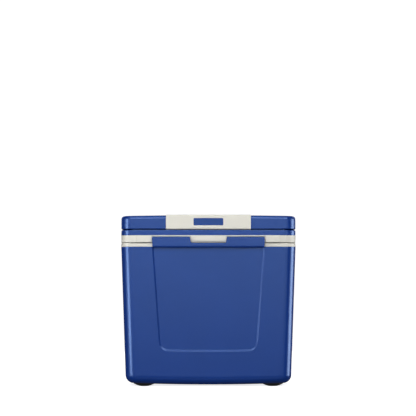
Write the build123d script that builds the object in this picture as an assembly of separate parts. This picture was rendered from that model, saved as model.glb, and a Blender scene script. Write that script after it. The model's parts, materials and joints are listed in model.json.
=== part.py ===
from build123d import *
import os
from math import cos, radians, sin, sqrt, tan

# Insulated vaccine carrier with a hinged lid, a swing bail nested round the lid and a drop latch.
# Millimetres.  +Z is up, the front faces -Y and the origin is under the middle of the feet.

# ------------------------------------------------------------------ driving sizes
# overall outline, taken at the lid
carrier_width = 340.0
carrier_depth = 260.0
corner_radius = 23.0

# heights, from the floor up
foot_drop = 3.6
bottom_rise = 3.7
collar_height = 6.9
seam_gap = 1.3
frame_height = 13.8
flange_height = 10.3
groove_gap = 2.2
bail_height = 26.8
crown_drop = 1.4

# outer shell of the body
shell_wall = 4.0
side_draft = 1.94
shell_bottom_fillet = 16.0
panel_recess = 1.6
panel_ramp_angle = 64.0
panel_top_half_width = 109.5
panel_bottom_half_width = 95.0
panel_bottom_height = 68.8
panel_bow = 1.2
panel_corner_radius = 19.0

# inner liner and insulation
insulation_side = 38.0
insulation_floor = 42.4
liner_wall = 2.5
liner_draft = 1.0
liner_corner_radius = 16.0
liner_floor_radius = 3.0
liner_flange_width = 7.0
liner_flange_thickness = 2.5
collar_edge_fillet = 0.8

# feet
foot_radius = 20.5
foot_height = 8.0
foot_dome_radius = 40.0
foot_land_radius = 7.0
foot_edge_radius = 2.0
foot_side_inset = 44.5
foot_front_inset = 45.0
foot_boss_radius = 8.0
foot_boss_height = 12.0
foot_screw_radius = 2.2
foot_screw_head_radius = 4.5
foot_screw_head_height = 2.6
foot_screw_recess = 1.4

# lid
lid_wall = 3.5
latch_bar_half_width = 139.5
latch_bar_reach = 2.0
latch_bezel_thickness = 3.5
latch_bezel_fillet = 1.0
latch_pocket_gap = 1.3
latch_pad_rise = 2.6
latch_pad_corner = 2.5
flange_edge_fillet = 1.2
lid_frame_floor = 3.0
plug_depth = 26.5
plug_side_clearance = 2.5
plug_draft = 3.0
plug_wall = 2.5
plug_flange_width = 8.0
plug_flange_thickness = 2.5
gasket_width = 8.0
gasket_groove_depth = 2.0
gasket_inset = 18.0
gasket_corner_radius = 14.0
gasket_clearance = 0.3
deck_drop = 9.0
deck_side_gap = 0.7
deck_front_gap = 2.4
deck_edge_fillet = 2.5
scoop_half_width = 62.0
scoop_reach = 30.0
scoop_floor_rise = 3.5
scoop_corner_radius = 9.0
rim_groove_depth = 2.2

# bail
arm_thickness = 20.0
crossbar_thickness = 26.0
bail_inner_radius = 8.0
bail_pivot_y = 0.0
bail_edge_fillet = 6.0
bail_lower_fillet = 1.0
shoulder_gap = 0.8
grip_half_width = 82.4
grip_wall = 3.0
grip_proud = 0.9
grip_front_proud = 1.0
grip_lower_proud = 0.9
grip_edge_radius = 3.0
badge_half_width = 28.9
badge_height = 14.2
badge_centre_rise = 13.8
badge_depth = 1.6
badge_corner_radius = 2.0
pivot_pin_radius = 3.5
pivot_pin_reach_in = 14.0
pivot_head_radius = 7.0
pivot_head_height = 2.4
pivot_head_sink = 1.4
pivot_boss_radius = 8.0
bush_wall = 2.0
running_clearance = 0.1
head_clearance = 0.4

# latch flap
latch_half_width = 109.4
latch_reach = 9.5
latch_thickness = 5.5
flap_height = 21.2
latch_barrel_radius = 4.0
latch_end_slant = 1.0
latch_corner_radius = 2.5
flap_chamfer = 1.6
notch_top_half_width = 36.1
notch_bottom_half_width = 33.6
notch_floor_rise = 9.4
notch_corner_radius = 3.0
latch_pin_radius = 1.25
lug_eye_radius = 2.5
lug_width = 6.0
lug_inner_x = 44.0
lug_outer_x = 92.0
lug_side_clearance = 0.5
lug_radial_clearance = 0.35
lug_neck_half_height = 1.3
lug_rise = 1.7
bead_rise = 13.5
bead_height = 3.0
bead_reach = 1.6
bead_half_length = 30.0
bead_centre_x = 74.0
catch_groove_depth = 1.2
catch_groove_margin = 0.7

# rear hinges
hinge_centre_x = 85.0
hinge_width = 56.0
knuckle_radius = 4.5
hinge_pin_radius = 1.75
knuckle_gap = 0.5
hinge_clearance = 0.6
leaf_thickness = 2.5
lower_leaf_length = 22.0
upper_leaf_length = 17.0
hinge_screw_radius = 1.8
hinge_screw_length = 9.0
hinge_screw_head_radius = 3.6
hinge_screw_head_height = 1.8
hinge_screw_spacing = 34.0
lower_screw_edge = 8.5
upper_screw_edge = 4.5
leaf_corner_radius = 5.0

# cold packs and the vial sponge
pack_height = 163.0
pack_width = 94.0
pack_thickness = 33.0
pack_corner_radius = 5.0
pack_edge_bevel = 3.0
pack_panel_depth = 2.0
pack_panel_margin = 17.0
pack_panel_radius = 8.0
pack_wall_gap = 0.5
pack_pair_gap = 2.0
pack_notch_width = 30.0
pack_notch_height = 19.0
pack_neck_radius = 8.0
cap_radius = 11.0
cap_height = 13.0
cap_top = 2.0
sponge_thickness = 38.0
sponge_headroom = 6.0
sponge_side_gap = 4.0
sponge_corner_radius = 14.0
sponge_slot_columns = 5
sponge_slot_rows = 2
sponge_slot_length = 26.0
sponge_slot_width = 3.0
sponge_slot_pitch_x = 42.0
sponge_slot_pitch_y = 66.0

# ------------------------------------------------------------------ worked-out places
half_width = carrier_width / 2
half_depth = carrier_depth / 2
shell_bottom = foot_drop
shell_floor = shell_bottom + bottom_rise + shell_wall
liner_floor = shell_bottom + insulation_floor
pack_top = liner_floor + pack_height
sponge_top = pack_top + sponge_thickness
plug_bottom = sponge_top + sponge_headroom
lid_bottom = plug_bottom + plug_depth
collar_top = lid_bottom - seam_gap
shell_top = collar_top - collar_height
frame_top = lid_bottom + frame_height
flange_top = frame_top + flange_height
bail_bottom = flange_top + groove_gap
bail_top = bail_bottom + bail_height
deck_top = bail_top - deck_drop

opening_width = carrier_width - 2 * insulation_side
opening_depth = carrier_depth - 2 * insulation_side
liner_rise = collar_top - liner_floor
liner_floor_width = opening_width - 2 * liner_rise * tan(radians(liner_draft))
liner_floor_depth = opening_depth - 2 * liner_rise * tan(radians(liner_draft))

arm_end_radius = (bail_height - crown_drop) / 2
bail_pivot_z = bail_bottom + arm_end_radius
arm_inner_x = half_width - arm_thickness
deck_half_width = arm_inner_x - deck_side_gap
deck_front_y = -half_depth + crossbar_thickness + deck_front_gap
shoulder_y = bail_pivot_y + arm_end_radius + shoulder_gap
bush_radius = pivot_pin_radius + running_clearance + bush_wall

latch_front_y = -half_depth - latch_reach
latch_axis_y = latch_front_y + latch_barrel_radius
latch_axis_z = shell_top + lug_rise
latch_bottom = latch_axis_z - latch_barrel_radius
latch_top = latch_bottom + flap_height
notch_floor = latch_bottom + notch_floor_rise
latch_back_y = latch_front_y + latch_thickness
latch_bar_front = -half_depth - latch_bar_reach
latch_bezel_front = latch_bar_front - latch_bezel_thickness

hinge_axis_y = half_depth + latch_reach - knuckle_radius
hinge_axis_z = collar_top + seam_gap / 2

foot_x = half_width - foot_side_inset
foot_y = half_depth - foot_front_inset
beyond = 60.0
overrun = 1.0
match_tolerance = 0.05


# ------------------------------------------------------------------ shared shapes
def block(x_range, y_range, z_range):
    """A box between two limits along each axis."""
    low = (x_range[0], y_range[0], z_range[0])
    size = (x_range[1] - x_range[0], y_range[1] - y_range[0], z_range[1] - z_range[0])
    return Pos(*low) * Box(*size, align=(Align.MIN, Align.MIN, Align.MIN))


def rod_x(radius, x_start, x_end, y, z):
    """A round rod lying along X."""
    turned = Rot(0, 90, 0) * Cylinder(radius, abs(x_end - x_start))
    return Pos((x_start + x_end) / 2, y, z) * turned


def rod_y(radius, y_start, y_end, x, z):
    """A round rod lying along Y."""
    turned = Rot(90, 0, 0) * Cylinder(radius, abs(y_end - y_start))
    return Pos(x, (y_start + y_end) / 2, z) * turned


def rod_z(radius, z_start, z_end, x, y):
    """A round upright rod."""
    return Pos(x, y, (z_start + z_end) / 2) * Cylinder(radius, z_end - z_start)


def rounded_prism(width, depth, radius, z_start, z_end):
    """An upright prism with rounded plan corners."""
    plan = Plane.XY.offset(z_start) * RectangleRounded(width, depth, radius)
    return extrude(plan, amount=z_end - z_start)


def outline_prism(z_start, z_end, inset=0.0):
    """The carrier's plan outline, drawn in by an inset, between two heights."""
    radius = corner_radius - inset
    return rounded_prism(carrier_width - 2 * inset, carrier_depth - 2 * inset, radius, z_start, z_end)


def drafted_prism(width, depth, radius, z_top, z_bottom, draft):
    """A prism that narrows downwards by a draft angle, given by its size at the top."""
    plan = Plane.XY.offset(z_top) * RectangleRounded(width, depth, radius)
    return extrude(plan, amount=z_top - z_bottom, dir=(0, 0, -1), taper=draft)


def arch_radius(rise):
    """Radius of a shallow arch with a given rise across the carrier's width."""
    return (half_width ** 2 + rise ** 2) / (2 * rise)


def crown_form():
    """A wide barrel whose top is the gentle crown of the lid and bail."""
    radius = arch_radius(crown_drop)
    return rod_y(radius, -half_depth - beyond, half_depth + beyond, 0, bail_top - radius)


def sag_form():
    """A wide barrel whose underside is the gentle sag of the body's floor."""
    radius = arch_radius(bottom_rise)
    return rod_y(radius, -half_depth - beyond, half_depth + beyond, 0, shell_bottom + radius)


def edges_at_height(solid, height):
    """Edges that lie flat at one height."""
    def is_level(edge):
        box = edge.bounding_box()
        return max(abs(box.min.Z - height), abs(box.max.Z - height)) < match_tolerance
    return solid.edges().filter_by(is_level)


# ------------------------------------------------------------------ body
def body_form(inset, z_bottom):
    """The drafted body block, drawn in all round by an inset."""
    across = half_width - inset
    along = half_depth - inset
    tilt = radians(side_draft)
    form = block((-across, across), (-along, along), (z_bottom, shell_top))
    for x, y in ((1, 0), (-1, 0), (0, 1), (0, -1)):
        wall_top = (x * across, y * along, shell_top)
        wall = Plane(origin=wall_top, z_dir=(x * cos(tilt), y * cos(tilt), -sin(tilt)))
        form = split(form, bisect_by=wall, keep=Keep.BOTTOM)
    corners = form.edges().filter_by(lambda edge: edge.bounding_box().size.Z > overrun)
    return fillet(corners, corner_radius - inset)


def shell_cavity():
    """The hollow of the outer shell, which the foam fills."""
    hollow = body_form(shell_wall, shell_floor)
    return fillet(edges_at_height(hollow, shell_floor), shell_bottom_fillet - shell_wall)


def front_face_plane():
    """The plane of the drafted front face, with its origin at the face's top edge."""
    tilt = radians(side_draft)
    return Plane(origin=(0, -half_depth, shell_top), x_dir=(1, 0, 0), z_dir=(0, -cos(tilt), -sin(tilt)))


def shield_panel():
    """The shield-shaped recess in the front wall, with a shallow ramp all round."""
    top_rise = collar_height
    low = panel_bottom_height - shell_top
    slope = (panel_top_half_width - panel_bottom_half_width) / (latch_bottom - panel_bottom_height)
    top_half_width = panel_bottom_half_width + slope * (top_rise - low)
    low_left = (-panel_bottom_half_width, low)
    low_right = (panel_bottom_half_width, low)
    with BuildSketch() as shield:
        with BuildLine():
            Polyline(low_left, (-top_half_width, top_rise), (top_half_width, top_rise), low_right)
            ThreePointArc(low_left, (0, low - panel_bow), low_right)
        make_face()
        fillet(shield.vertices().sort_by(Axis.Y)[:2], panel_corner_radius)
    face_plane = front_face_plane()
    outline = face_plane * shield.sketch
    return extrude(outline, amount=panel_recess, dir=-face_plane.z_dir, taper=panel_ramp_angle)


def foot_places():
    """Name and centre of each foot."""
    places = []
    for end, y in (("front", -foot_y), ("rear", foot_y)):
        for side, x in (("left", -foot_x), ("right", foot_x)):
            places.append((f"{end}_{side}", x, y))
    return places


def foot_bosses():
    """Screw bosses that stand up from the shell's floor over the feet."""
    bosses = Part()
    for _, x, y in foot_places():
        bosses += rod_z(foot_boss_radius, shell_floor, shell_floor + foot_boss_height, x, y)
    return bosses


def foot_screw(x, y):
    """One foot screw: a pan head in the foot's recess and a shank up into the boss."""
    head_low = foot_screw_recess
    head = rod_z(foot_screw_head_radius, head_low, head_low + foot_screw_head_height, x, y)
    shank_top = shell_floor + foot_boss_height - foot_screw_recess
    shank = rod_z(foot_screw_radius, head_low + foot_screw_head_height, shank_top, x, y)
    return head + shank


def outer_shell():
    """The moulded body shell with its front panel, foot seats and screw bosses."""
    shell = body_form(0, shell_bottom) & sag_form()
    underside = shell.faces().sort_by(Axis.Z)[0]
    shell = fillet(underside.edges(), shell_bottom_fillet)
    shell -= shell_cavity()
    shell -= shield_panel()
    shell += foot_bosses()
    for _, x, y in foot_places():
        shell -= rod_z(foot_radius, 0, foot_height, x, y)
        shell -= foot_screw(x, y)
    shell -= hinge_screws(body_screw_height())
    return shell


def liner_outside():
    """The outer faces of the inner liner, which the foam is moulded against."""
    width = opening_width + 2 * liner_wall
    depth = opening_depth + 2 * liner_wall
    radius = liner_corner_radius + liner_wall
    wall_block = drafted_prism(width, depth, radius, collar_top, liner_floor - liner_wall, liner_draft)
    flange_width = width + 2 * liner_flange_width
    flange_depth = depth + 2 * liner_flange_width
    flange_radius = radius + liner_flange_width
    flange_low = collar_top - liner_flange_thickness
    flange = rounded_prism(flange_width, flange_depth, flange_radius, flange_low, collar_top)
    return wall_block + flange


def inner_liner():
    """The food-grade tub inside the foam, with a flange let into the collar."""
    hollow = drafted_prism(
        opening_width, opening_depth, liner_corner_radius, collar_top, liner_floor, liner_draft
    )
    hollow = fillet(edges_at_height(hollow, liner_floor), liner_floor_radius)
    return liner_outside() - hollow


def body_core():
    """The foamed-in insulation between shell and liner."""
    core = shell_cavity() - liner_outside() - foot_bosses()
    return core - hinge_screws(body_screw_height())


def lug_centres():
    """X positions of the latch lugs, in pairs about the middle."""
    return [side * x for x in (lug_inner_x, lug_outer_x) for side in (-1, 1)]


def latch_lugs():
    """Eyes on short necks that carry the latch pin in front of the collar."""
    lugs = Part()
    for x in lug_centres():
        x_range = (x - lug_width / 2, x + lug_width / 2)
        neck_z = (latch_axis_z - lug_neck_half_height, latch_axis_z + lug_neck_half_height)
        eye = rod_x(lug_eye_radius, *x_range, latch_axis_y, latch_axis_z)
        lugs += eye + block(x_range, (latch_axis_y, -half_depth), neck_z)
    return lugs - latch_pin()


def rim_collar():
    """The cream collar on the body's rim, with the latch lugs moulded on."""
    collar = outline_prism(shell_top, collar_top)
    collar = fillet(edges_at_height(collar, collar_top), collar_edge_fillet)
    return collar - liner_outside() - tub_opening() + latch_lugs()


def tub_opening():
    """The opening through the collar, as wide as the liner's tub."""
    return rounded_prism(opening_width, opening_depth, liner_corner_radius, shell_top, collar_top)


def latch_pin():
    """The steel pin that the latch flap swings on."""
    reach = latch_half_width - latch_corner_radius
    return rod_x(latch_pin_radius, -reach, reach, latch_axis_y, latch_axis_z)


def foot(x, y):
    """A round rubber foot with a domed underside, a flat land and a screw recess."""
    dome_centre = sqrt(foot_dome_radius ** 2 - foot_land_radius ** 2)
    dome = Pos(x, y, dome_centre) * Sphere(foot_dome_radius)
    pad = rod_z(foot_radius, 0, foot_height, x, y) & dome
    rim_height = dome_centre - sqrt(foot_dome_radius ** 2 - foot_radius ** 2)
    pad = fillet(edges_at_height(pad, rim_height), foot_edge_radius)
    recess = rod_z(foot_screw_head_radius, 0, foot_screw_recess, x, y)
    return pad - recess - foot_screw(x, y)


def foot_screws():
    """The four foot screws."""
    return [foot_screw(x, y) for _, x, y in foot_places()]


# ------------------------------------------------------------------ rear hinges
def body_screw_height():
    """Height of the screws through the lower leaves."""
    return hinge_axis_z - knuckle_radius - hinge_clearance - lower_leaf_length + lower_screw_edge


def lid_screw_height():
    """Height of the screws through the upper leaves."""
    return hinge_axis_z + knuckle_radius + hinge_clearance + upper_leaf_length - upper_screw_edge


def hinge_centres():
    """Name and X position of each hinge."""
    return [("left", -hinge_centre_x), ("right", hinge_centre_x)]


def hinge_screw(x, z):
    """One hinge screw, with a pan head on the leaf and a shank into the wall behind it."""
    face = half_depth + leaf_thickness
    head = rod_y(hinge_screw_head_radius, face, face + hinge_screw_head_height, x, z)
    return head + rod_y(hinge_screw_radius, face - hinge_screw_length, face, x, z)


def hinge_screws(z):
    """The screws of both hinges at one height."""
    screws = []
    for _, centre in hinge_centres():
        for side in (-1, 1):
            screws.append(hinge_screw(centre + side * hinge_screw_spacing / 2, z))
    return screws


def knuckle_spans(centre):
    """X ranges of the three knuckles of a hinge: the lower leaf's two and the upper leaf's one."""
    length = (hinge_width - 2 * knuckle_gap) / 3
    start = centre - hinge_width / 2
    starts = [start + index * (length + knuckle_gap) for index in range(3)]
    return [(begin, begin + length) for begin in starts]


def knuckle(x_range, z_leaf):
    """One hinge knuckle with the neck that joins it to its leaf."""
    barrel = rod_x(knuckle_radius, *x_range, hinge_axis_y, hinge_axis_z)
    z_range = (min(hinge_axis_z, z_leaf), max(hinge_axis_z, z_leaf))
    return barrel + block(x_range, (half_depth, hinge_axis_y), z_range)


def hinge_pin(centre, clearance=0.0):
    """The steel pin through the knuckles of one hinge."""
    radius = hinge_pin_radius + clearance
    return rod_x(radius, centre - hinge_width / 2, centre + hinge_width / 2, hinge_axis_y, hinge_axis_z)


def lower_leaf(centre):
    """The leaf on the body: a screwed plate with two knuckles."""
    x_range = (centre - hinge_width / 2, centre + hinge_width / 2)
    z_high = hinge_axis_z - knuckle_radius - hinge_clearance
    leaf_sides = (half_depth - leaf_thickness, half_depth + leaf_thickness)
    leaf = block(x_range, leaf_sides, (z_high - lower_leaf_length, z_high))
    low_corners = leaf.edges().filter_by(Axis.Y).sort_by(Axis.Z)[:2]
    leaf = fillet(low_corners, leaf_corner_radius)
    leaf -= body_form(0, shell_bottom)
    leaf -= outline_prism(shell_top, collar_top)
    spans = knuckle_spans(centre)
    leaf += knuckle(spans[0], z_high - leaf_thickness) + knuckle(spans[2], z_high - leaf_thickness)
    return leaf - hinge_pin(centre) - hinge_screws(body_screw_height())


def upper_leaf(centre):
    """The leaf on the lid: a screwed plate with one knuckle."""
    x_range = (centre - hinge_width / 2, centre + hinge_width / 2)
    z_low = hinge_axis_z + knuckle_radius + hinge_clearance
    leaf = block(x_range, (half_depth, half_depth + leaf_thickness), (z_low, z_low + upper_leaf_length))
    high_corners = leaf.edges().filter_by(Axis.Y).sort_by(Axis.Z)[-2:]
    leaf = fillet(high_corners, leaf_corner_radius)
    leaf += knuckle(knuckle_spans(centre)[1], z_low + leaf_thickness)
    return leaf - hinge_pin(centre, running_clearance) - hinge_screws(lid_screw_height())


# ------------------------------------------------------------------ lid
def crowned_block(z_low, lower_fillet):
    """The lid's upper outline with its crowned top and soft edges, down to a height."""
    shape = outline_prism(z_low, bail_top + crown_drop) & crown_form()
    top_face = shape.faces().sort_by(Axis.Z)[-1]
    shape = fillet(top_face.edges(), bail_edge_fillet)
    if lower_fillet > 0:
        shape = fillet(edges_at_height(shape, z_low), lower_fillet)
    return shape


def inside_ring(z_low, z_high, front_y, grow=0.0):
    """The space inside the bail and the rear rim, between two heights."""
    width = 2 * (arm_inner_x + grow)
    rear_y = half_depth - arm_thickness + grow
    plan = rounded_prism(width, rear_y - front_y + grow, bail_inner_radius + grow, z_low, z_high)
    return Pos(0, (rear_y + front_y - grow) / 2, 0) * plan


def bail_space(grow=0.0):
    """What the bail's arms need in front of the rear shoulders, stowed and upright."""
    across = (-half_width - beyond, half_width + beyond)
    front = -half_depth - beyond
    radius = arm_end_radius + shoulder_gap + grow
    below = block(across, (front, bail_pivot_y), (flange_top, bail_top + beyond))
    above = block(across, (front, shoulder_y + grow), (bail_pivot_z, bail_top + beyond))
    return below + above + rod_x(radius, *across, bail_pivot_y, bail_pivot_z)


def rear_rim():
    """The rear half of the lid's top: a raised rim round the deck, with shoulders for the bail."""
    rim = crowned_block(flange_top, 0)
    rim -= inside_ring(deck_top, bail_top + beyond, -half_depth)
    rim -= bail_space()
    groove = outline_prism(flange_top, bail_bottom) - outline_prism(flange_top, bail_bottom, rim_groove_depth)
    return rim - groove


def deck_plan(z_low, z_high, inset=0.0):
    """The lid's deck between the bail's arms, drawn in by an inset."""
    width = 2 * (deck_half_width - inset)
    rear_y = half_depth - arm_thickness
    depth = rear_y - deck_front_y - inset
    radius = bail_inner_radius - deck_side_gap - inset
    plan = rounded_prism(width, depth, radius, z_low, z_high)
    return Pos(0, (rear_y + deck_front_y + inset) / 2, 0) * plan


def finger_scoop(grow=0.0):
    """The hollow in the deck behind the grip, where the fingers go under the bail."""
    width = 2 * (scoop_half_width + grow)
    depth = 2 * (scoop_reach + grow)
    floor = flange_top + scoop_floor_rise - grow
    scoop = rounded_prism(width, depth, scoop_corner_radius + grow, floor, deck_top + beyond)
    return Pos(0, deck_front_y, 0) * scoop


def pivot_bosses():
    """Bosses inside the deck's side walls that hold the bail's pivot pins."""
    bosses = Part()
    for side in (-1, 1):
        inner = side * (deck_half_width - pivot_pin_reach_in - lid_wall)
        outer = side * (deck_half_width - lid_wall)
        bosses += rod_x(pivot_boss_radius, min(inner, outer), max(inner, outer), bail_pivot_y, bail_pivot_z)
    return bosses


def lid_shell_cavity():
    """The hollow of the lid shell, under the flange, the deck and the rear rim."""
    front_part = block(
        (-half_width, half_width), (-half_depth, shoulder_y + lid_wall), (frame_top, bail_top)
    )
    cavity = outline_prism(frame_top, flange_top - lid_wall, lid_wall)
    cavity += deck_plan(frame_top, deck_top - lid_wall, lid_wall)
    cavity += outline_prism(frame_top, deck_top - lid_wall, lid_wall) - front_part
    under_rim = outline_prism(deck_top - 2 * lid_wall, bail_top - crown_drop - lid_wall, lid_wall)
    under_rim -= inside_ring(frame_top, bail_top, -half_depth, lid_wall)
    cavity += under_rim - front_part
    return cavity - finger_scoop(lid_wall) - pivot_bosses()


def pivot_pin(side):
    """A shouldered pin through the bush and into the deck's side wall."""
    inner = deck_half_width - pivot_pin_reach_in
    head_outer = half_width - pivot_head_sink
    head_inner = head_outer - pivot_head_height
    spans = ((pivot_pin_radius, inner, head_inner), (pivot_head_radius, head_inner, head_outer))
    pin = Part()
    for radius, start, end in spans:
        ends = sorted((side * start, side * end))
        pin += rod_x(radius, *ends, bail_pivot_y, bail_pivot_z)
    return pin


def lid_shell():
    """The blue top of the lid: flange, deck with finger scoop, rear rim and pivot holes."""
    flange = outline_prism(frame_top, flange_top)
    flange = fillet(edges_at_height(flange, flange_top), flange_edge_fillet)
    deck = deck_plan(flange_top, deck_top)
    deck = fillet(edges_at_height(deck, deck_top), deck_edge_fillet)
    shell = flange + deck + rear_rim()
    shell -= lid_shell_cavity()
    shell -= finger_scoop()
    shell -= pivot_pin(-1)
    shell -= pivot_pin(1)
    return shell - hinge_screws(lid_screw_height())


def plug_outside():
    """The outer faces of the lid's plug and of its flange."""
    width = opening_width - 2 * plug_side_clearance
    depth = opening_depth - 2 * plug_side_clearance
    radius = liner_corner_radius - plug_side_clearance
    seat = lid_bottom + lid_frame_floor
    plug = drafted_prism(width, depth, radius, seat, plug_bottom, plug_draft)
    flange_width = width + 2 * plug_flange_width
    flange_depth = depth + 2 * plug_flange_width
    flange_radius = radius + plug_flange_width
    return plug + rounded_prism(
        flange_width, flange_depth, flange_radius, seat, seat + plug_flange_thickness
    )


def plug_hollow():
    """The hollow of the plug, which the lid's foam fills."""
    width = opening_width - 2 * (plug_side_clearance + plug_wall)
    depth = opening_depth - 2 * (plug_side_clearance + plug_wall)
    radius = liner_corner_radius - plug_side_clearance - plug_wall
    top = lid_bottom + lid_frame_floor + plug_flange_thickness
    return drafted_prism(width, depth, radius, top, plug_bottom + plug_wall, plug_draft)


def lid_liner():
    """The white pan under the lid that plugs the opening."""
    pan = plug_outside()
    pan = fillet(edges_at_height(pan, plug_bottom), plug_wall)
    return pan - plug_hollow()


def gasket_ring(z_low, z_high):
    """A rectangular ring that runs round the collar's top."""
    width = carrier_width - 2 * gasket_inset
    depth = carrier_depth - 2 * gasket_inset
    outer = rounded_prism(width, depth, gasket_corner_radius, z_low, z_high)
    inner_width = width - 2 * gasket_width
    inner_depth = depth - 2 * gasket_width
    inner_radius = gasket_corner_radius - gasket_width
    return outer - rounded_prism(inner_width, inner_depth, inner_radius, z_low, z_high)


def lid_gasket():
    """The sealing ring in the lid's groove, just clear of the collar."""
    return gasket_ring(collar_top + gasket_clearance, lid_bottom + gasket_groove_depth)


def bead_centres():
    """X positions of the two catch beads on the back of the flap."""
    return [-bead_centre_x, bead_centre_x]


def catch_grooves():
    """Grooves in the latch bar that face the flap's catch beads."""
    grooves = Part()
    centre_z = latch_axis_z + bead_rise
    half_height = bead_height / 2 + catch_groove_margin
    z_range = (centre_z - half_height, centre_z + half_height)
    for x in bead_centres():
        half_length = bead_half_length + catch_groove_margin
        x_range = (x - half_length, x + half_length)
        grooves += block(x_range, (latch_bar_front, latch_bar_front + catch_groove_depth), z_range)
    return grooves


def latch_bar():
    """The low bar along the front of the lid frame, with the catch grooves."""
    sides = (-latch_bar_half_width, latch_bar_half_width)
    bar = block(sides, (latch_bar_front, -half_depth + lid_wall), (lid_bottom, frame_top))
    return bar - catch_grooves()


def lid_frame():
    """The cream frame under the lid, with the bar that the latch closes over."""
    frame = outline_prism(lid_bottom, frame_top) + latch_bar()
    frame -= outline_prism(lid_bottom + lid_frame_floor, frame_top, lid_wall)
    frame -= plug_outside()
    return frame - gasket_ring(lid_bottom, lid_bottom + gasket_groove_depth)


def latch_pad():
    """The outline of the pad that fills the flap's finger notch, as a prism along Y."""
    low_half_width = notch_bottom_half_width - latch_pocket_gap
    high_half_width = notch_top_half_width - latch_pocket_gap
    pad_bottom = lid_bottom + latch_pad_rise
    with BuildSketch(Plane.XZ) as pad:
        with BuildLine():
            Polyline(
                (-low_half_width, pad_bottom),
                (low_half_width, pad_bottom),
                (high_half_width, frame_top),
                (-high_half_width, frame_top),
                close=True,
            )
        make_face()
        fillet(pad.vertices().sort_by(Axis.Y)[:2], latch_pad_corner)
    return extrude(pad.sketch, amount=carrier_depth)


def latch_pocket():
    """The opening in the bezel that the closed flap lies in, with the pad left standing."""
    reach = latch_half_width + latch_pocket_gap
    y_range = (latch_bezel_front - overrun, latch_bar_front + overrun)
    z_range = (lid_bottom - overrun, latch_top + latch_pocket_gap)
    return block((-reach, reach), y_range, z_range) - latch_pad()


def latch_bezel():
    """The bezel on the latch bar that frames the flap and fills its finger notch."""
    sides = (-latch_bar_half_width, latch_bar_half_width)
    bezel = block(sides, (latch_bezel_front, latch_bar_front), (lid_bottom, frame_top))
    front_face = bezel.faces().sort_by(Axis.Y)[0]
    bezel = fillet(front_face.edges(), latch_bezel_fillet)
    return bezel - latch_pocket()


def lid_core():
    """The foam inside the lid and its plug."""
    core = outline_prism(lid_bottom + lid_frame_floor, frame_top, lid_wall) + plug_hollow()
    core += lid_shell_cavity()
    core -= plug_outside() - plug_hollow()
    return core - pivot_pin(-1) - pivot_pin(1) - hinge_screws(lid_screw_height())


# ------------------------------------------------------------------ bail
def grip_section(sink_front, sink_rear, sink_top, sink_bottom, radius):
    """A length of the crossbar under the grip, with each face drawn in by a sink."""
    y_range = (-half_depth + sink_front, -half_depth + crossbar_thickness - sink_rear)
    z_range = (bail_bottom + sink_bottom, bail_top - sink_top)
    bar = block((-grip_half_width, grip_half_width), y_range, z_range)
    return fillet(bar.edges().filter_by(Axis.X), radius)


def grip_core():
    """The slimmed stretch of crossbar that the grip sleeve is moulded over."""
    sink = grip_wall - grip_front_proud
    return grip_section(sink, sink, sink, sink, grip_edge_radius)


def bail_frame():
    """The U-shaped bail with round arm ends, bush bores and a slimmed middle for the grip."""
    bail = crowned_block(bail_bottom, bail_lower_fillet)
    bail -= inside_ring(flange_top, bail_top + beyond, -half_depth + crossbar_thickness)
    across = (-half_width, half_width)
    kept = block(across, (-half_depth, bail_pivot_y), (bail_bottom, bail_top))
    kept += rod_x(arm_end_radius, *across, bail_pivot_y, bail_pivot_z)
    bail = bail & kept
    middle_x = (-grip_half_width, grip_half_width)
    middle_y = (-half_depth - overrun, -half_depth + crossbar_thickness + overrun)
    bail -= block(middle_x, middle_y, (bail_bottom - overrun, bail_top + overrun))
    bail += grip_core()
    bail -= rod_x(bush_radius, *across, bail_pivot_y, bail_pivot_z)
    counterbore_radius = pivot_head_radius + head_clearance
    depth = pivot_head_sink + pivot_head_height + head_clearance
    for side in (-1, 1):
        ends = sorted((side * (half_width - depth), side * half_width))
        bail -= rod_x(counterbore_radius, *ends, bail_pivot_y, bail_pivot_z)
    return bail


def bail_bush(side):
    """The bush pressed into one arm, running on the pivot pin."""
    depth = pivot_head_sink + pivot_head_height + head_clearance
    ends = sorted((side * arm_inner_x, side * (half_width - depth)))
    bush = rod_x(bush_radius, *ends, bail_pivot_y, bail_pivot_z)
    return bush - rod_x(pivot_pin_radius + running_clearance, *ends, bail_pivot_y, bail_pivot_z)


def grip_badge():
    """The bare blue inlay in the front of the grip."""
    front = -half_depth - grip_front_proud
    centre_z = bail_bottom + badge_centre_rise
    x_range = (-badge_half_width, badge_half_width)
    z_range = (centre_z - badge_height / 2, centre_z + badge_height / 2)
    badge = block(x_range, (front, front + badge_depth), z_range)
    return fillet(badge.edges().filter_by(Axis.Y), badge_corner_radius)


def bail_grip():
    """The cream grip sleeve round the middle of the crossbar."""
    front = -grip_front_proud
    sleeve = grip_section(front, front, -grip_proud, -grip_lower_proud, grip_edge_radius)
    return sleeve - grip_core() - grip_badge()


# ------------------------------------------------------------------ latch
def flap_section():
    """The flap's section: a plate that ends below in a round barrel, along its whole length."""
    top_front = (latch_front_y, latch_top - flap_chamfer)
    top_back = (latch_front_y + flap_chamfer, latch_top)
    with BuildSketch(Plane.YZ) as section:
        with BuildLine():
            Polyline(
                (latch_front_y, latch_axis_z),
                top_front,
                top_back,
                (latch_back_y, latch_top),
                (latch_back_y, latch_axis_z),
                close=True,
            )
        make_face()
        with Locations((latch_axis_y, latch_axis_z)):
            Circle(latch_barrel_radius)
    return extrude(section.sketch, amount=latch_half_width, both=True)


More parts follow.
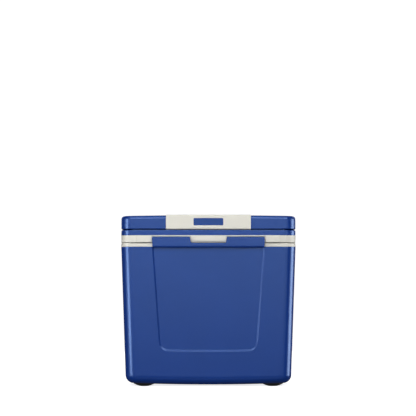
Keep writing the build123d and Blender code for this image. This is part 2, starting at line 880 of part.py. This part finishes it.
def flap_front():
    """The flap's front outline with its finger notch, as a prism through its thickness."""
    foot_half_width = latch_half_width - latch_end_slant
    with BuildSketch(Plane.XZ) as front:
        with BuildLine():
            Polyline(
                (-foot_half_width, latch_bottom),
                (-latch_half_width, latch_top),
                (-notch_top_half_width, latch_top),
                (-notch_bottom_half_width, notch_floor),
                (notch_bottom_half_width, notch_floor),
                (notch_top_half_width, latch_top),
                (latch_half_width, latch_top),
                (foot_half_width, latch_bottom),
                close=True,
            )
        make_face()
        outer = [v for v in front.vertices() if abs(v.X) > notch_top_half_width + overrun]
        fillet(outer, latch_corner_radius)
        floor = [v for v in front.vertices() if abs(v.Y - notch_floor) < match_tolerance]
        fillet(floor, notch_corner_radius)
    return extrude(front.sketch, amount=carrier_depth)


def lug_slots():
    """Pockets from behind that clear the lugs while the flap swings down."""
    slots = Part()
    half_height = lug_neck_half_height + lug_radial_clearance
    for x in lug_centres():
        half = lug_width / 2 + lug_side_clearance
        x_range = (x - half, x + half)
        eye_radius = lug_eye_radius + lug_radial_clearance
        slots += rod_x(eye_radius, *x_range, latch_axis_y, latch_axis_z)
        rear_y = (latch_axis_y - half_height, latch_axis_y + 2 * latch_barrel_radius)
        low_z = (latch_axis_z - 2 * latch_barrel_radius, latch_axis_z + half_height)
        slots += block(x_range, rear_y, low_z)
    return slots


def latch_flap():
    """The drop flap that closes over the lid's latch bar."""
    flap = flap_section() & flap_front()
    bore_radius = latch_pin_radius + running_clearance
    flap -= rod_x(bore_radius, -latch_half_width, latch_half_width, latch_axis_y, latch_axis_z)
    flap -= lug_slots()
    bead_radius = bead_height / 2
    bead_y = latch_back_y + bead_reach - bead_radius
    bead_z = latch_axis_z + bead_rise
    for x in bead_centres():
        flap += rod_x(bead_radius, x - bead_half_length, x + bead_half_length, bead_y, bead_z)
    return flap


# ------------------------------------------------------------------ cold packs and sponge
def cold_pack_body():
    """A flat blow-moulded bottle with pressed-in panels and a notch for its neck."""
    half = pack_width / 2
    notch_x = half - pack_notch_width
    notch_z = pack_height - pack_notch_height
    with BuildSketch(Plane.XZ) as side:
        with BuildLine():
            Polyline(
                (-half, 0),
                (half, 0),
                (half, notch_z),
                (notch_x, notch_z),
                (notch_x, pack_height),
                (-half, pack_height),
                close=True,
            )
        make_face()
        fillet(side.vertices(), pack_corner_radius)
    bottle = extrude(side.sketch, amount=pack_thickness / 2, both=True)
    faces = bottle.faces().filter_by(Axis.Y)
    bottle = chamfer(faces.edges(), pack_edge_bevel)
    panel_height = notch_z - 2 * pack_panel_margin
    panel_width = pack_width - 2 * pack_panel_margin
    for side_sign in (-1, 1):
        panel = Rot(90, 0, 0) * rounded_prism(
            panel_width, panel_height, pack_panel_radius, -pack_panel_depth, pack_panel_depth
        )
        bottle -= Pos(0, side_sign * pack_thickness / 2, notch_z / 2) * panel
    return bottle + cold_pack_neck()


def cold_pack_neck():
    """The filler neck that stands in the notch, under the cap."""
    neck_x = (pack_width - pack_notch_width) / 2
    low = pack_height - pack_notch_height - pack_edge_bevel
    return rod_z(pack_neck_radius, low, pack_height - cap_top, neck_x, 0)


def cold_pack_cap():
    """The screw cap over the filler neck."""
    neck_x = (pack_width - pack_notch_width) / 2
    cap = rod_z(cap_radius, pack_height - cap_height, pack_height, neck_x, 0)
    return cap - cold_pack_neck()


def cold_pack_places():
    """Name and placement of each cold pack against the liner's walls."""
    pair_x = (pack_width + pack_pair_gap) / 2
    wall_y = liner_floor_depth / 2 - pack_wall_gap - pack_thickness / 2
    wall_x = liner_floor_width / 2 - pack_wall_gap - pack_thickness / 2
    places = []
    for end, y in (("front", -wall_y), ("rear", wall_y)):
        for side, x, turn in (("left", -pair_x, 180), ("right", pair_x, 0)):
            places.append((f"{end}_{side}", Pos(x, y, liner_floor) * Rot(0, 0, turn)))
    for side, x in (("left", -wall_x), ("right", wall_x)):
        places.append((side, Pos(x, 0, liner_floor) * Rot(0, 0, 90)))
    return places


def vial_sponge():
    """The slit foam pad that lies on the cold packs and holds vials in use."""
    width = liner_floor_width - 2 * sponge_side_gap
    depth = liner_floor_depth - 2 * sponge_side_gap
    sponge = rounded_prism(width, depth, sponge_corner_radius, pack_top, sponge_top)
    for column in range(sponge_slot_columns):
        for row in range(sponge_slot_rows):
            x = (column - (sponge_slot_columns - 1) / 2) * sponge_slot_pitch_x
            y = (row - (sponge_slot_rows - 1) / 2) * sponge_slot_pitch_y
            x_range = (x - sponge_slot_width / 2, x + sponge_slot_width / 2)
            y_range = (y - sponge_slot_length / 2, y + sponge_slot_length / 2)
            sponge -= block(x_range, y_range, (pack_top, sponge_top))
    return sponge


# ------------------------------------------------------------------ all nodes
def body_nodes():
    """Everything that stands still with the body."""
    nodes = {
        "outer_shell": outer_shell(),
        "body_foam_core": body_core(),
        "inner_liner": inner_liner(),
        "rim_collar": rim_collar(),
        "latch_pin": latch_pin(),
        "foot_screws": foot_screws(),
        "hinge_body_screws": hinge_screws(body_screw_height()),
        "vial_sponge": vial_sponge(),
    }
    for name, x, y in foot_places():
        nodes[f"foot_{name}"] = foot(x, y)
    for name, centre in hinge_centres():
        nodes[f"hinge_lower_leaf_{name}"] = lower_leaf(centre)
        nodes[f"hinge_pin_{name}"] = hinge_pin(centre)
    bottle = cold_pack_body()
    cap = cold_pack_cap()
    for name, place in cold_pack_places():
        nodes[f"cold_pack_{name}"] = place * bottle
        nodes[f"cold_pack_cap_{name}"] = place * cap
    return nodes


def lid_nodes():
    """Everything that swings with the lid."""
    nodes = {
        "lid_shell": lid_shell(),
        "lid_frame": lid_frame(),
        "latch_bezel": latch_bezel(),
        "lid_foam_core": lid_core(),
        "lid_liner": lid_liner(),
        "lid_gasket": lid_gasket(),
        "hinge_lid_screws": hinge_screws(lid_screw_height()),
        "bail_pivot_pin_left": pivot_pin(-1),
        "bail_pivot_pin_right": pivot_pin(1),
    }
    for name, centre in hinge_centres():
        nodes[f"hinge_upper_leaf_{name}"] = upper_leaf(centre)
    return nodes


def bail_nodes():
    """Everything that swings with the bail."""
    return {
        "bail_frame": bail_frame(),
        "bail_grip": bail_grip(),
        "grip_badge": grip_badge(),
        "bail_bush_left": bail_bush(-1),
        "bail_bush_right": bail_bush(1),
    }


def write_nodes(nodes):
    """Write one STEP file for each node."""
    os.makedirs("parts", exist_ok=True)
    for name, shape in nodes.items():
        solids = shape if isinstance(shape, list) else [shape]
        whole = Compound(children=[solid for group in solids for solid in group.solids()])
        export_step(whole, f"parts/{name}.step")


def main():
    """Build every node and write it."""
    for nodes in (body_nodes(), lid_nodes(), bail_nodes(), {"latch_flap": latch_flap()}):
        write_nodes(nodes)


if __name__ == "__main__":
    main()
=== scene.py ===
import json
import math

import bmesh
import bpy
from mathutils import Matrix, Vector


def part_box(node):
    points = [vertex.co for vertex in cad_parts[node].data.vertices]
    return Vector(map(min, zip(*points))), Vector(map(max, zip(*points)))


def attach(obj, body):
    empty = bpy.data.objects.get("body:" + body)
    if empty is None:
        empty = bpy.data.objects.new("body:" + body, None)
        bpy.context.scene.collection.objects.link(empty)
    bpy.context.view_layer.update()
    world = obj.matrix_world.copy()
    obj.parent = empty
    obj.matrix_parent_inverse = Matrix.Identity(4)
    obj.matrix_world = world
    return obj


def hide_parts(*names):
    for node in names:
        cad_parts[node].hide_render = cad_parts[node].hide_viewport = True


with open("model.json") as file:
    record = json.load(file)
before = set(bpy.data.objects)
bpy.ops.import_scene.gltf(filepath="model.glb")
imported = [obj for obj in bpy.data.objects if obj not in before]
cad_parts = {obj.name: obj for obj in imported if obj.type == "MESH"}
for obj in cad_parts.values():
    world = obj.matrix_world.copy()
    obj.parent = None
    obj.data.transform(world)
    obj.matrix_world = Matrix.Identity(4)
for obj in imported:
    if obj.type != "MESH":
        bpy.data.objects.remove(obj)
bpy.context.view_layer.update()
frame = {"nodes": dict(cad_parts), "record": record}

# ------------------------------------------------------------------ view
# Names that end in PX are in pixels of the photograph, and lengths without a unit are in metres.
PHOTO_PX = 416
CARRIER_LEFT_PX = 121.2
CARRIER_RIGHT_PX = 295.6
FLOOR_LINE_PX = 386.08
EYE_LEVEL_PX = 298.25
FOCAL_PX = 2200.0
SENSOR_MM = 36.0
OUTLINE_SETBACK = 0.023  # how far behind the lid's front its outline is seen
VIEW_DEPTH = 100.0

# ------------------------------------------------------------------ stage, metres
FLOOR_RADIUS = 6.5
SWEEP_RADIUS = 1.5
SWEEP_STEPS = 12
WALL_TOP = 7.0
STAGE_SIDES = 96
MERGE_DISTANCE = 0.0001
NEAR_GLOW = 0.80  # strength within GLOW_START of the carrier, rising to FAR_GLOW at GLOW_END
FAR_GLOW = 1.0
GLOW_START = 0.5
GLOW_END = 2.0
SURROUND_STRENGTH = 0.06

# ------------------------------------------------------------------ vial sponge, metres
SLIT_COLUMNS = 5
SLIT_ROWS = 2
SLIT_PITCH = (0.042, 0.066)
SLIT_HALF_LENGTH = 0.013
SLIT_HALF_WIDTH = 0.0018
SLIT_DEPTH = 0.016
LIP_SAG = 0.0025  # how far the foam sinks beside a slit, and how quickly it recovers
LIP_REACH = 0.0035
PAD_EDGE_RADIUS = 0.006
PAD_CLEARANCE = 0.0006
PAD_CELLS_X = 124
PAD_CELLS_Y = 84
PAD_CELLS_Z = 12

# ------------------------------------------------------------------ lights, metres and watts
CARRIER_MIDDLE = (0.0, 0.0, 0.17)
CARRIER_FRONT = (0.0, -0.13, 0.25)
LIGHTS = (
    # name, place, target, (width, height), power
    ("left_box", (-1.33, -0.86, 0.17), CARRIER_MIDDLE, (0.5, 0.7), 5.4),
    ("left_edge", (-1.50, -0.50, 0.17), CARRIER_MIDDLE, (0.6, 0.7), 1.0),
    ("right_box", (1.55, 0.00, 0.17), CARRIER_MIDDLE, (0.8, 0.7), 7.0),
    ("right_edge", (1.50, 0.24, 0.17), CARRIER_MIDDLE, (0.6, 0.7), 0.8),
    ("overhead", (0.0, -0.3, 2.3), (0.0, -0.1, 0.0), (2.0, 1.6), 7.0),
    ("key", (0.0, -1.9, 1.10), CARRIER_FRONT, (2.4, 1.0), 26.0),
    ("front_wall", (0.0, -5.2, 0.05), (0.0, 0.0, 0.05), (9.6, 0.50), 25.5),
    ("floor_bounce", (0.0, -1.0, -0.60), CARRIER_FRONT, (2.4, 0.6), 0.8),
    ("back", (0.0, 2.4, 1.1), (0.0, 0.0, 0.20), (4.0, 1.6), 30.0),
)

# ------------------------------------------------------------------ linear colours, indices
BLUE = (0.0030, 0.0365, 0.264)
BADGE_BLUE = (0.0033, 0.0385, 0.256)
BLUE_SHEEN = (0.37, 0.58, 1.0)
BLUE_INDEX = 2.1
CREAM = (0.89, 0.87, 0.78)
CREAM_INDEX = 1.7
WHITE = (0.86, 0.87, 0.87)
CAP_BLUE = (0.02, 0.12, 0.45)
BOTTLE_BLUE = (0.62, 0.76, 0.90)
FOAM_YELLOW = (0.78, 0.66, 0.34)
SPONGE_BLUE = (0.16, 0.34, 0.66)
FOOT_BLACK = (0.012, 0.012, 0.014)
GASKET_GREY = (0.04, 0.04, 0.045)
STEEL_DARK = (0.30, 0.30, 0.31)
STEEL_LIGHT = (0.42, 0.42, 0.43)
PAPER_DARK = (0.88, 0.88, 0.88)
PAPER_LIGHT = (0.90, 0.90, 0.90)
PURE_WHITE = (1.0, 1.0, 1.0, 1.0)

BEVEL_SAMPLES = 4

lid_low, lid_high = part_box("lid_shell")
sponge_low, sponge_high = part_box("vial_sponge")


# ------------------------------------------------------------------ material helpers
class Graph:
    """A material's node tree, with short calls for the nodes used here."""

    def __init__(self, name):
        self.material = bpy.data.materials.new(name)
        self.material.use_nodes = True
        self.tree = self.material.node_tree
        self.shader = self.tree.nodes["Principled BSDF"]
        self.position = self.node("ShaderNodeTexCoord").outputs["Object"]

    def node(self, kind, **settings):
        made = self.tree.nodes.new(kind)
        for key, value in settings.items():
            setattr(made, key, value)
        return made

    def link(self, start, end):
        self.tree.links.new(start, end)

    def noise(self, scale, detail=3.0, roughness=0.5, distortion=0.0):
        made = self.node("ShaderNodeTexNoise")
        made.inputs["Scale"].default_value = scale
        made.inputs["Detail"].default_value = detail
        made.inputs["Roughness"].default_value = roughness
        made.inputs["Distortion"].default_value = distortion
        self.link(self.position, made.inputs["Vector"])
        return made.outputs["Fac"]

    def cells(self, scale):
        made = self.node("ShaderNodeTexVoronoi")
        made.inputs["Scale"].default_value = scale
        self.link(self.position, made.inputs["Vector"])
        return made.outputs["Distance"]

    def ramp(self, factor, stops):
        """Colours at (place, colour) stops along a factor."""
        made = self.node("ShaderNodeValToRGB")
        elements = made.color_ramp.elements
        while len(elements) < len(stops):
            elements.new(0.5)
        for element, (place, colour) in zip(elements, stops):
            element.position = place
            element.color = (*colour, 1.0)
        self.link(factor, made.inputs["Fac"])
        return made.outputs["Color"]

    def blend(self, factor, first, second, start=0.3, end=0.7):
        """One colour up to a factor of start, and another from a factor of end."""
        return self.ramp(factor, [(start, first), (end, second)])

    def span(self, factor, low, high, start=0.0, end=1.0):
        """A factor between start and end, moved to between low and high."""
        made = self.node("ShaderNodeMapRange")
        made.inputs["From Min"].default_value = start
        made.inputs["From Max"].default_value = end
        made.inputs["To Min"].default_value = low
        made.inputs["To Max"].default_value = high
        self.link(factor, made.inputs["Value"])
        return made.outputs["Result"]

    def soft_edges(self, radius):
        made = self.node("ShaderNodeBevel", samples=BEVEL_SAMPLES)
        made.inputs["Radius"].default_value = radius
        return made.outputs["Normal"]

    def bump(self, height, depth, strength, normal=None):
        made = self.node("ShaderNodeBump")
        made.inputs["Strength"].default_value = strength
        made.inputs["Distance"].default_value = depth
        self.link(height, made.inputs["Height"])
        if normal is not None:
            self.link(normal, made.inputs["Normal"])
        return made.outputs["Normal"]

    def set(self, **values):
        """Constants on the shader's own sockets; an underscore stands for a space."""
        for name, value in values.items():
            self.shader.inputs[name.replace("_", " ")].default_value = value

    def feed(self, **sockets):
        """Links to the shader's sockets; an underscore stands for a space."""
        for name, socket in sockets.items():
            self.link(socket, self.shader.inputs[name.replace("_", " ")])


def shade(colour, factor):
    """A colour made lighter or darker by a factor."""
    return tuple(min(1.0, channel * factor) for channel in colour)


# ------------------------------------------------------------------ materials
def moulded_plastic(name, colour, roughness, grain, edge_radius, index=1.5, tint=(1.0, 1.0, 1.0)):
    """Moulded plastic: faint flow marks in the colour, fine spark-eroded grain and soft edges."""
    g = Graph(name)
    flow = g.noise(scale=7.0, detail=4.0, distortion=0.6)
    scuffs = g.noise(scale=160.0, detail=6.0, roughness=0.7)
    g.feed(Base_Color=g.blend(flow, shade(colour, 0.95), shade(colour, 1.05)))
    g.feed(Roughness=g.span(scuffs, low=roughness - 0.05, high=roughness + 0.05))
    edges = g.soft_edges(edge_radius)
    pebble = g.bump(g.cells(scale=1400.0), depth=grain, strength=0.35, normal=edges)
    waves = g.noise(scale=60.0, detail=2.0)
    g.feed(Normal=g.bump(waves, depth=grain * 4, strength=0.25, normal=pebble))
    g.set(IOR=index, Specular_Tint=(*tint, 1.0))
    return g.material


def soft_foam(name, colour):
    """Open-cell foam: pores with painted shade in their pits, painted light on their ridges, and a
    dry, matte surface.
    """
    g = Graph(name)
    pores = g.cells(scale=420.0)
    # Pore colours are painted shade in the pits and painted light on the ridges of the same bumps.
    stops = [(0.1, shade(colour, 0.55)), (0.45, colour), (0.8, shade(colour, 1.12))]
    g.feed(Base_Color=g.ramp(pores, stops))
    g.feed(Normal=g.bump(pores, depth=0.0012, strength=0.8))
    g.set(Roughness=0.95, Sheen_Weight=0.25, Sheen_Roughness=0.5)
    return g.material


def rigid_foam(name, colour):
    """Closed-cell insulation: fine cells with slow colour drift."""
    g = Graph(name)
    drift = g.noise(scale=14.0, detail=5.0)
    g.feed(Base_Color=g.blend(drift, shade(colour, 0.85), shade(colour, 1.08)))
    g.feed(Normal=g.bump(g.cells(scale=900.0), depth=0.0004, strength=0.6))
    g.set(Roughness=0.9)
    return g.material


def rubber(name, colour, roughness):
    """Moulded rubber: matte, with dust-pale mottling and a fine skin."""
    g = Graph(name)
    dust = g.noise(scale=90.0, detail=6.0, roughness=0.65)
    dusty = tuple(channel + 0.02 for channel in colour)
    g.feed(Base_Color=g.blend(dust, colour, dusty, start=0.35, end=0.75))
    g.feed(Roughness=g.span(dust, low=roughness - 0.08, high=roughness + 0.08))
    skin = g.noise(scale=700.0, detail=2.0)
    g.feed(Normal=g.bump(skin, depth=0.00012, strength=0.5, normal=g.soft_edges(0.0006)))
    g.set(IOR=1.52)
    return g.material


def turned_steel(name):
    """Plated steel for pins and screws: fine turning marks and a satin sheen."""
    g = Graph(name)
    marks = g.noise(scale=1800.0, detail=3.0)
    g.feed(Base_Color=g.blend(marks, STEEL_DARK, STEEL_LIGHT))
    g.feed(Roughness=g.span(marks, low=0.34, high=0.50))
    g.feed(Normal=g.bump(marks, depth=0.00003, strength=0.4, normal=g.soft_edges(0.0003)))
    g.set(Metallic=1.0)
    return g.material


def frosted_bottle(name, colour):
    """Blow-moulded, milky cold pack wall."""
    g = Graph(name)
    cloud = g.noise(scale=18.0, detail=4.0)
    g.feed(Base_Color=g.blend(cloud, shade(colour, 0.92), shade(colour, 1.04)))
    g.feed(Roughness=g.span(cloud, low=0.35, high=0.5))
    ripple = g.noise(scale=240.0, detail=3.0)
    g.feed(Normal=g.bump(ripple, depth=0.0002, strength=0.4, normal=g.soft_edges(0.0012)))
    g.set(IOR=1.45, Subsurface_Weight=0.15, Subsurface_Radius=(0.004, 0.006, 0.008))
    return g.material


# Moulded plastics take a name, colour, roughness, depth of grain and edge radius, in metres.
materials = {
    "blue_shell": moulded_plastic(
        "blue_shell_plastic", BLUE, 0.25, 0.00005, 0.0009, BLUE_INDEX, BLUE_SHEEN
    ),
    "badge_blue": moulded_plastic(
        "badge_blue_plastic", BADGE_BLUE, 0.22, 0.00002, 0.0004, BLUE_INDEX, BLUE_SHEEN
    ),
    "cream_plastic": moulded_plastic("cream_plastic", CREAM, 0.40, 0.00005, 0.0007, CREAM_INDEX),
    "white_liner": moulded_plastic("white_liner_plastic", WHITE, 0.30, 0.00003, 0.0008),
    "hinge_nylon": moulded_plastic("hinge_nylon_plastic", shade(BLUE, 0.8), 0.45, 0.00006, 0.0005),
    "bush_nylon": moulded_plastic("bush_nylon_plastic", shade(CREAM, 0.9), 0.45, 0.00005, 0.0003),
    "pack_cap": moulded_plastic("pack_cap_plastic", CAP_BLUE, 0.38, 0.00005, 0.0005),
    "pack_body": frosted_bottle("pack_body_plastic", BOTTLE_BLUE),
    "rigid_foam": rigid_foam("rigid_foam_fill", FOAM_YELLOW),
    "sponge": soft_foam("sponge_foam", SPONGE_BLUE),
    "foot_rubber": rubber("foot_rubber_black", FOOT_BLACK, roughness=0.62),
    "gasket_rubber": rubber("gasket_rubber_grey", GASKET_GREY, roughness=0.6),
    "steel": turned_steel("turned_steel"),
}


def paint(obj, slot_name):
    """Give an object one material in its first slot."""
    obj.data.materials.clear()
    obj.data.materials.append(materials[slot_name])


def paint_nodes():
    """Give every CAD node the material of its slot in the record."""
    for part in frame["record"]["subparts"]:
        paint(frame["nodes"][part["node"]], part["material_slot"])


def smooth_object(name, mesh):
    """Turn a bmesh into a smooth object in the scene."""
    data = bpy.data.meshes.new(name)
    mesh.to_mesh(data)
    mesh.free()
    for face in data.polygons:
        face.use_smooth = True
    made = bpy.data.objects.new(name, data)
    bpy.context.scene.collection.objects.link(made)
    return made


# ------------------------------------------------------------------ the vial sponge
def dimple(x, y):
    """How far the pad's top sinks in and beside its slits."""
    sink = 0.0
    for column in range(SLIT_COLUMNS):
        for row in range(SLIT_ROWS):
            slit_x = (column - (SLIT_COLUMNS - 1) / 2) * SLIT_PITCH[0]
            slit_y = (row - (SLIT_ROWS - 1) / 2) * SLIT_PITCH[1]
            across = abs(x - slit_x)
            along = max(0.0, abs(y - slit_y) - SLIT_HALF_LENGTH)
            away = math.hypot(across, along)
            if away < SLIT_HALF_WIDTH:
                sink = max(sink, SLIT_DEPTH)
            else:
                sink = max(sink, LIP_SAG * math.exp(-(away - SLIT_HALF_WIDTH) / LIP_REACH))
    return sink


def build_sponge():
    """The foam pad, with vial slits in its flat top and worn, rounded edges."""
    half_x = (sponge_high[0] - sponge_low[0]) / 2 - PAD_CLEARANCE
    half_y = (sponge_high[1] - sponge_low[1]) / 2 - PAD_CLEARANCE
    low = sponge_low[2]
    high = sponge_high[2] - PAD_CLEARANCE

    mesh = bmesh.new()
    bmesh.ops.create_grid(mesh, x_segments=PAD_CELLS_X, y_segments=PAD_CELLS_Y, size=1.0)
    for vert in mesh.verts:
        x = vert.co.x * half_x
        y = vert.co.y * half_y
        vert.co = Vector((x, y, high - dimple(x, y)))

    wall = [edge for edge in mesh.edges if edge.is_boundary]
    step = (high - low) / PAD_CELLS_Z
    for _ in range(PAD_CELLS_Z):
        grown = bmesh.ops.extrude_edge_only(mesh, edges=wall)["geom"]
        for item in grown:
            if isinstance(item, bmesh.types.BMVert):
                item.co.z -= step
        wall = [item for item in grown if isinstance(item, bmesh.types.BMEdge) and item.is_boundary]
    bmesh.ops.holes_fill(mesh, edges=wall)

    # Draw the corners in to the edge radius, round a box that lies that far inside the pad.
    centre = Vector((0, 0, (low + high) / 2))
    halves = (half_x, half_y, (high - low) / 2)
    inner = Vector([half - PAD_EDGE_RADIUS for half in halves])
    for vert in mesh.verts:
        local = vert.co - centre
        kept = Vector([max(-limit, min(limit, value)) for value, limit in zip(local, inner)])
        beyond = local - kept
        if beyond.length > PAD_EDGE_RADIUS:
            vert.co = centre + kept + beyond.normalized() * PAD_EDGE_RADIUS
    bmesh.ops.recalc_face_normals(mesh, faces=mesh.faces)

    pad = smooth_object("vial_sponge_pad", mesh)
    paint(pad, "sponge")
    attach(pad, "carrier")
    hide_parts("vial_sponge")


# ------------------------------------------------------------------ stage, light and camera
def stage_material():
    """Matte white paper with faint mottling that glows as painted light, weaker near the carrier
    and whiter away from it.
    """
    g = Graph("paper_sweep")
    g.feed(Base_Color=g.blend(g.noise(scale=3.0), PAPER_DARK, PAPER_LIGHT))
    away = g.node("ShaderNodeVectorMath", operation="LENGTH")
    g.link(g.position, away.inputs[0])
    # The glow is painted light standing in for lamps on the paper: weaker near the carrier,
    # stronger further away.
    glow = g.span(away.outputs["Value"], NEAR_GLOW, FAR_GLOW, start=GLOW_START, end=GLOW_END)
    g.feed(Emission_Strength=glow)
    g.set(Roughness=0.9, Emission_Color=PURE_WHITE)
    return g.material


def build_stage():
    """A round pale floor that sweeps up into a wall all the way round the carrier.

    It is hidden from reflections and bounced light, and casts no shadow.
    """
    profile = [(0.0, 0.0), (GLOW_END, 0.0), (FLOOR_RADIUS, 0.0)]
    for index in range(1, SWEEP_STEPS + 1):
        turn = math.pi / 2 * index / SWEEP_STEPS
        reach = FLOOR_RADIUS + SWEEP_RADIUS * math.sin(turn)
        profile.append((reach, SWEEP_RADIUS * (1 - math.cos(turn))))
    profile.append((FLOOR_RADIUS + SWEEP_RADIUS, WALL_TOP))

    mesh = bmesh.new()
    line = [mesh.verts.new((reach, 0.0, height)) for reach, height in profile]
    edges = [mesh.edges.new(pair) for pair in zip(line, line[1:])]
    axis = {"cent": (0, 0, 0), "axis": (0, 0, 1), "dvec": (0, 0, 0)}
    bmesh.ops.spin(mesh, geom=line + edges, angle=2 * math.pi, steps=STAGE_SIDES, **axis)
    bmesh.ops.remove_doubles(mesh, verts=mesh.verts, dist=MERGE_DISTANCE)

    sweep = smooth_object("paper_sweep", mesh)
    sweep.data.materials.append(stage_material())
    sweep.visible_diffuse = False
    sweep.visible_glossy = False
    sweep.visible_shadow = False


def area_light(name, place, target, size, power):
    """A soft rectangular light that is aimed at a point and hidden from the camera."""
    data = bpy.data.lights.new(name, "AREA")
    data.shape = "RECTANGLE"
    data.size, data.size_y = size
    data.energy = power
    lamp = bpy.data.objects.new(name, data)
    lamp.location = place
    lamp.rotation_euler = (Vector(target) - Vector(place)).to_track_quat("-Z", "Y").to_euler()
    bpy.context.scene.collection.objects.link(lamp)
    lamp.visible_camera = False


def build_lights():
    """Side lights for the corner highlights, key and overhead for the form, and a back light.

    The low wall in front and the bounce from below stand in for the hidden floor.
    """
    for row in LIGHTS:
        area_light(*row)


def build_world():
    """A dim, even surround."""
    world = bpy.data.worlds.new("studio")
    bpy.context.scene.world = world
    world.use_nodes = True
    background = world.node_tree.nodes["Background"]
    background.inputs["Color"].default_value = PURE_WHITE
    background.inputs["Strength"].default_value = SURROUND_STRENGTH


def build_camera():
    """A long lens at the carrier's mid-height, tilted up so that it stands low in the frame."""
    metres_per_px = (lid_high[0] - lid_low[0]) / (CARRIER_RIGHT_PX - CARRIER_LEFT_PX)
    data = bpy.data.cameras.new("camera")
    data.sensor_width = SENSOR_MM
    data.lens = FOCAL_PX / PHOTO_PX * SENSOR_MM
    data.clip_end = VIEW_DEPTH
    camera = bpy.data.objects.new("camera", data)
    eye_height = (FLOOR_LINE_PX - EYE_LEVEL_PX) * metres_per_px
    middle_px = (CARRIER_LEFT_PX + CARRIER_RIGHT_PX) / 2
    across = (PHOTO_PX / 2 - middle_px) * metres_per_px
    outline_y = lid_low[1] + OUTLINE_SETBACK
    camera.location = (across, outline_y - FOCAL_PX * metres_per_px, eye_height)
    tilt = math.atan((EYE_LEVEL_PX - PHOTO_PX / 2) / FOCAL_PX)
    camera.rotation_euler = (math.pi / 2 + tilt, 0.0, 0.0)
    bpy.context.scene.collection.objects.link(camera)
    bpy.context.scene.camera = camera


paint_nodes()
build_sponge()
build_stage()
build_world()
build_lights()
build_camera()
bpy.context.scene.view_settings.view_transform = "Standard"
